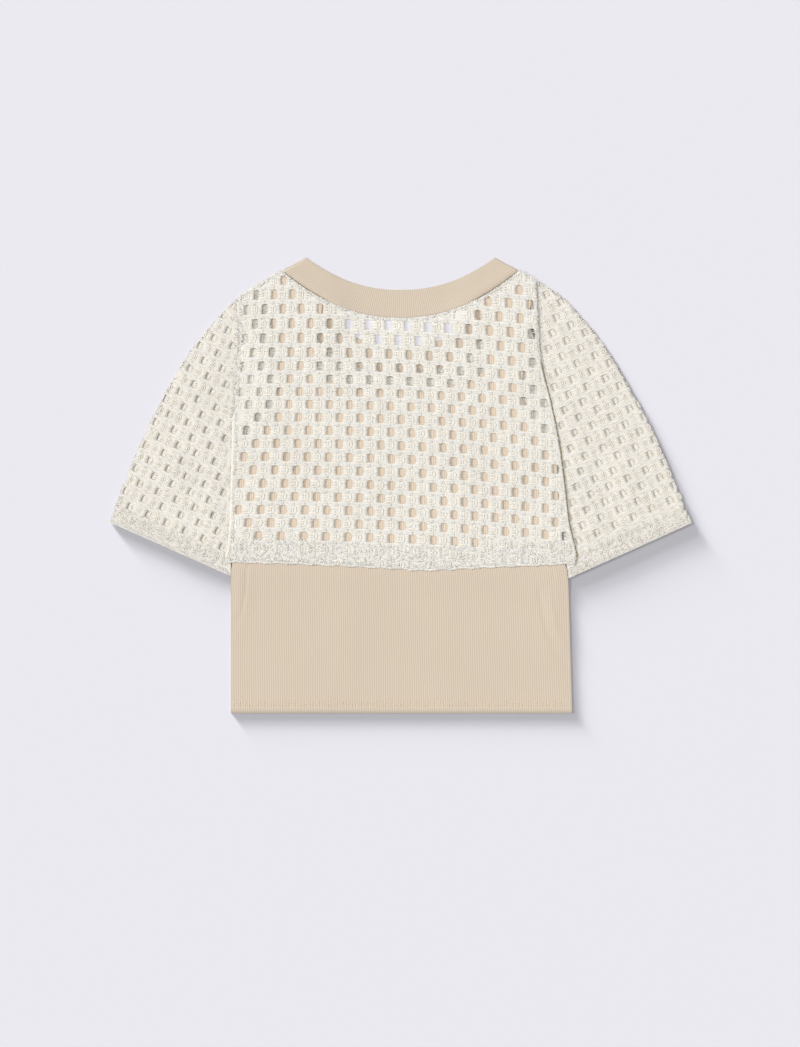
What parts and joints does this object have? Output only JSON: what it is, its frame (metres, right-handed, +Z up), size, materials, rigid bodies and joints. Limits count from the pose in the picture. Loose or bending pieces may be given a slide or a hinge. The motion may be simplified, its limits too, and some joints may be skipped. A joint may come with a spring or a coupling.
{
  "type": "crop top",
  "caption": "Crop top laid flat with its back up: a short-sleeved openwork knit overlay with a ribbed neckband, over a fine-rib tank",
  "frame": {"origin": "Middle of the object's outline on the surface it lies on: the underside is z = 0", "axes": "+X runs across the garment to the right of a viewer above it, +Y runs from the hem to the neck, +Z points up from the surface"},
  "size_m": [0.583, 0.4559, 0.0085],
  "materials": {
    "overlay_knit": "matte cream cotton yarn, openwork knit",
    "sleeve_knit": "matte cream cotton yarn, openwork knit, slightly warmer",
    "rib": "matte beige fine rib jersey"
  },
  "bodies": {
    "root": {"overlay_front": "overlay_knit", "overlay_back": "overlay_knit", "sleeve_left": "sleeve_knit", "sleeve_right": "sleeve_knit", "neckband": "rib", "tank_front": "rib", "tank_back": "rib"}
  },
  "joints": []
}
